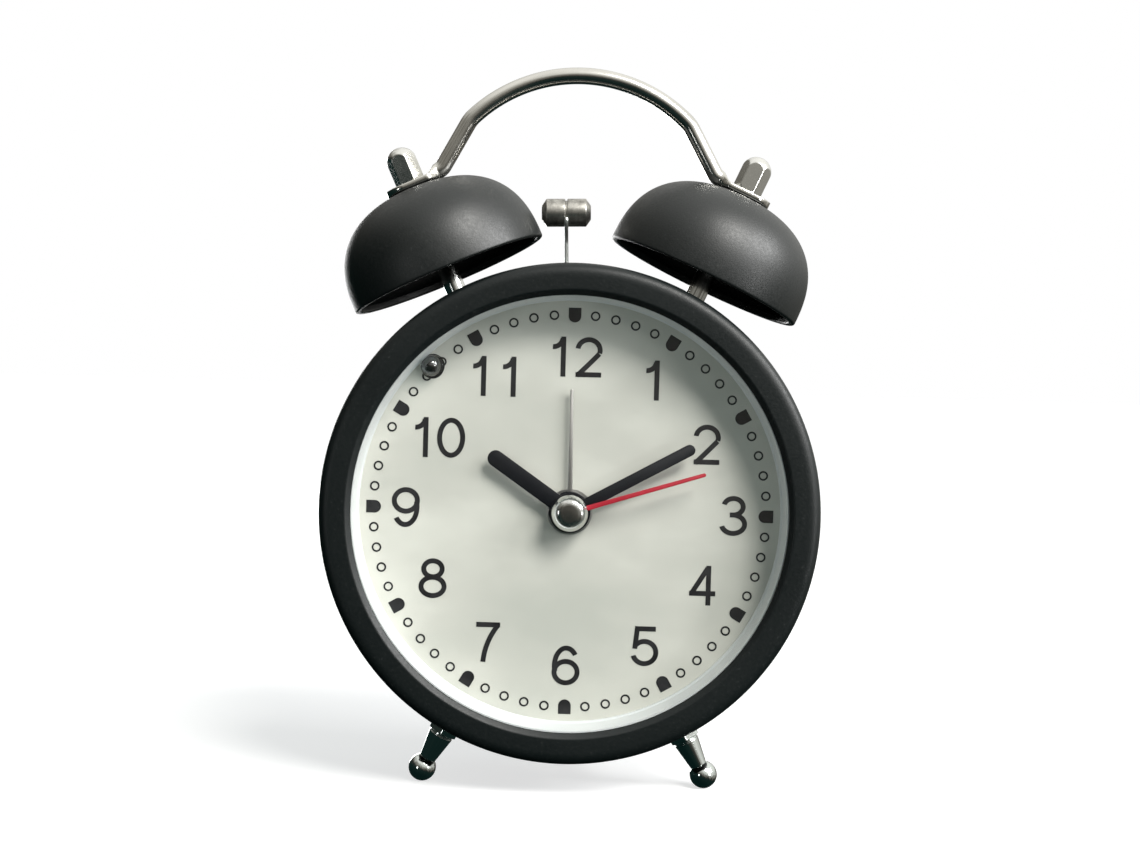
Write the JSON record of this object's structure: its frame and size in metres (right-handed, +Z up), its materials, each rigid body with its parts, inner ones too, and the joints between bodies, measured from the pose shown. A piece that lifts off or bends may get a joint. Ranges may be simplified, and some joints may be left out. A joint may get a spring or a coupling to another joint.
{
  "type": "alarm clock",
  "caption": "Round desk alarm clock with two bells, a striking hammer, a wire carry handle and ball feet.",
  "frame": {"origin": "on the resting surface, under the middle of the clock's box", "axes": "+Z up, +X to the right of the dial as the reader sees it, the dial faces -Y"},
  "size_m": [0.117, 0.0536, 0.1741],
  "materials": {
    "black_paint": "fine matte powder coat",
    "clear_lens": "clear polished",
    "white_ring": "smooth moulded",
    "dial_paper": "satin printed",
    "dial_ink": "matte print",
    "lamp_resin": "clear resin",
    "hand_black": "satin",
    "hand_red": "satin",
    "hand_silver": "satin",
    "polished_chrome": "polished",
    "hammer_steel": "turned",
    "black_plastic": "fine texture",
    "button_plastic": "moulded",
    "movement_plastic": "moulded",
    "wheel_plastic": "moulded acetal",
    "motor_steel": "plated",
    "brass_pinion": "turned",
    "copper_coil": "enamelled wire",
    "board_green": "laminate",
    "cell_jacket": "gloss sleeve"
  },
  "bodies": {
    "clock": {"case_shell": "black_paint", "front_bezel": "black_paint", "front_lens": "clear_lens", "inner_ring": "white_ring", "dial_plate": "dial_paper", "dial_hour_markers": "dial_ink", "dial_minute_rings": "dial_ink", "dial_numerals": "dial_ink", "led_lamp": "lamp_resin", "movement_front_plate": "movement_plastic", "movement_back_case": "movement_plastic", "stator": "motor_steel", "coil": "copper_coil", "circuit_board": "board_green", "hammer_pivot_pin": "hammer_steel", "striker_motor": "motor_steel", "striker_bracket": "motor_steel", "case_nuts": "hammer_steel", "carry_handle": "polished_chrome", "bell_left": "black_paint", "bell_right": "black_paint", "bell_post_left": "polished_chrome", "bell_post_right": "polished_chrome", "cap_nut_left": "polished_chrome", "cap_nut_right": "polished_chrome", "foot_left": "polished_chrome", "foot_right": "polished_chrome", "rear_foot": "black_plastic", "rear_cover": "black_plastic", "rear_cover_screws": "hammer_steel", "battery_cells": "cell_jacket", "battery_contacts": "hammer_steel", "battery_springs": "hammer_steel"},
    "alarm_train": {"alarm_hand": "hand_silver", "alarm_wheel": "wheel_plastic"},
    "hour_train": {"hour_hand": "hand_black", "hour_wheel": "wheel_plastic"},
    "minute_train": {"minute_hand": "hand_black", "centre_wheel": "wheel_plastic"},
    "second_train": {"second_hand": "hand_red", "hand_cap": "polished_chrome", "second_wheel": "wheel_plastic"},
    "third_train": {"third_wheel": "wheel_plastic"},
    "fifth_train": {"fifth_wheel": "wheel_plastic"},
    "rotor_train": {"rotor": "wheel_plastic"},
    "minute_wheel_body": {"minute_wheel": "wheel_plastic"},
    "time_set": {"time_set_shaft": "wheel_plastic", "time_set_knob": "black_plastic"},
    "alarm_set": {"alarm_set_shaft": "wheel_plastic", "alarm_set_knob": "black_plastic"},
    "hammer": {"hammer_head": "hammer_steel", "hammer_rod": "hammer_steel", "hammer_arm": "movement_plastic"},
    "crank": {"striker_gear": "movement_plastic"},
    "motor_shaft": {"motor_pinion": "brass_pinion"},
    "door": {"battery_door": "black_plastic"},
    "light_key": {"light_button": "button_plastic"},
    "alarm_slide": {"alarm_switch": "button_plastic"}
  },
  "joints": [
    {"name": "second_hand_spin", "type": "hinge", "parent": "clock", "child": "second_train", "pos_m": [0, -0.00208, 0.0665], "axis": [0, 1, 0], "continuous": true},
    {"name": "minute_hand_spin", "type": "hinge", "parent": "clock", "child": "minute_train", "pos_m": [0, -0.00208, 0.0665], "axis": [0, 1, 0], "continuous": true},
    {"name": "hour_hand_spin", "type": "hinge", "parent": "clock", "child": "hour_train", "pos_m": [0, -0.00208, 0.0665], "axis": [0, 1, 0], "continuous": true},
    {"name": "third_wheel_spin", "type": "hinge", "parent": "clock", "child": "third_train", "pos_m": [0, -0.00208, 0.07784], "axis": [0, 1, 0], "continuous": true},
    {"name": "fifth_wheel_spin", "type": "hinge", "parent": "clock", "child": "fifth_train", "pos_m": [0, -0.00208, 0.0569], "axis": [0, 1, 0], "continuous": true},
    {"name": "rotor_spin", "type": "hinge", "parent": "clock", "child": "rotor_train", "pos_m": [-0.00803, -0.00208, 0.05128], "axis": [0, 1, 0], "continuous": true},
    {"name": "minute_wheel_spin", "type": "hinge", "parent": "clock", "child": "minute_wheel_body", "pos_m": [0.008, -0.00208, 0.0665], "axis": [0, 1, 0], "continuous": true},
    {"name": "time_set_spin", "type": "hinge", "parent": "clock", "child": "time_set", "pos_m": [0.01573, 0.02392, 0.06443], "axis": [0, 1, 0], "continuous": true},
    {"name": "alarm_set_spin", "type": "hinge", "parent": "clock", "child": "alarm_set", "pos_m": [-0.0125, 0.02392, 0.0665], "axis": [0, 1, 0], "continuous": true},
    {"name": "alarm_hand_spin", "type": "hinge", "parent": "clock", "child": "alarm_train", "pos_m": [0, -0.00208, 0.0665], "axis": [0, 1, 0], "continuous": true},
    {"name": "hammer_swing", "type": "hinge", "parent": "clock", "child": "hammer", "pos_m": [-0.0019, -0.00208, 0.1085], "axis": [0, 1, 0], "range_deg": [-2, 12.2]},
    {"name": "striker_gear_spin", "type": "hinge", "parent": "clock", "child": "crank", "pos_m": [-0.00258, 0.00293, 0.10113], "axis": [0, 1, 0], "continuous": true},
    {"name": "motor_spin", "type": "hinge", "parent": "clock", "child": "motor_shaft", "pos_m": [0.00502, 0.00293, 0.10113], "axis": [0, 1, 0], "continuous": true},
    {"name": "battery_door_slide", "type": "slide", "parent": "clock", "child": "door", "axis": [0, 0, -1], "range_m": [0, 0.005]},
    {"name": "light_button_press", "type": "slide", "parent": "clock", "child": "light_key", "axis": [0, -1, 0], "range_m": [0, 0.002], "stiffness_N_per_m": 300, "springref_m": -0.001},
    {"name": "alarm_switch_slide", "type": "slide", "parent": "clock", "child": "alarm_slide", "axis": [1, 0, 0], "range_m": [0, 0.004]}
  ],
  "couplings": [
    {"joint": "minute_hand_spin", "follows": "second_hand_spin", "ratio": 0.016667},
    {"joint": "hour_hand_spin", "follows": "second_hand_spin", "ratio": 0.0013889},
    {"joint": "third_wheel_spin", "follows": "second_hand_spin", "ratio": -0.125},
    {"joint": "fifth_wheel_spin", "follows": "second_hand_spin", "ratio": -5},
    {"joint": "rotor_spin", "follows": "second_hand_spin", "ratio": 30},
    {"joint": "minute_wheel_spin", "follows": "second_hand_spin", "ratio": -0.0055556},
    {"joint": "time_set_spin", "follows": "second_hand_spin", "ratio": 0.016667},
    {"joint": "alarm_hand_spin", "follows": "alarm_set_spin", "ratio": -0.25},
    {"joint": "motor_spin", "follows": "striker_gear_spin", "ratio": -3.75}
  ]
}
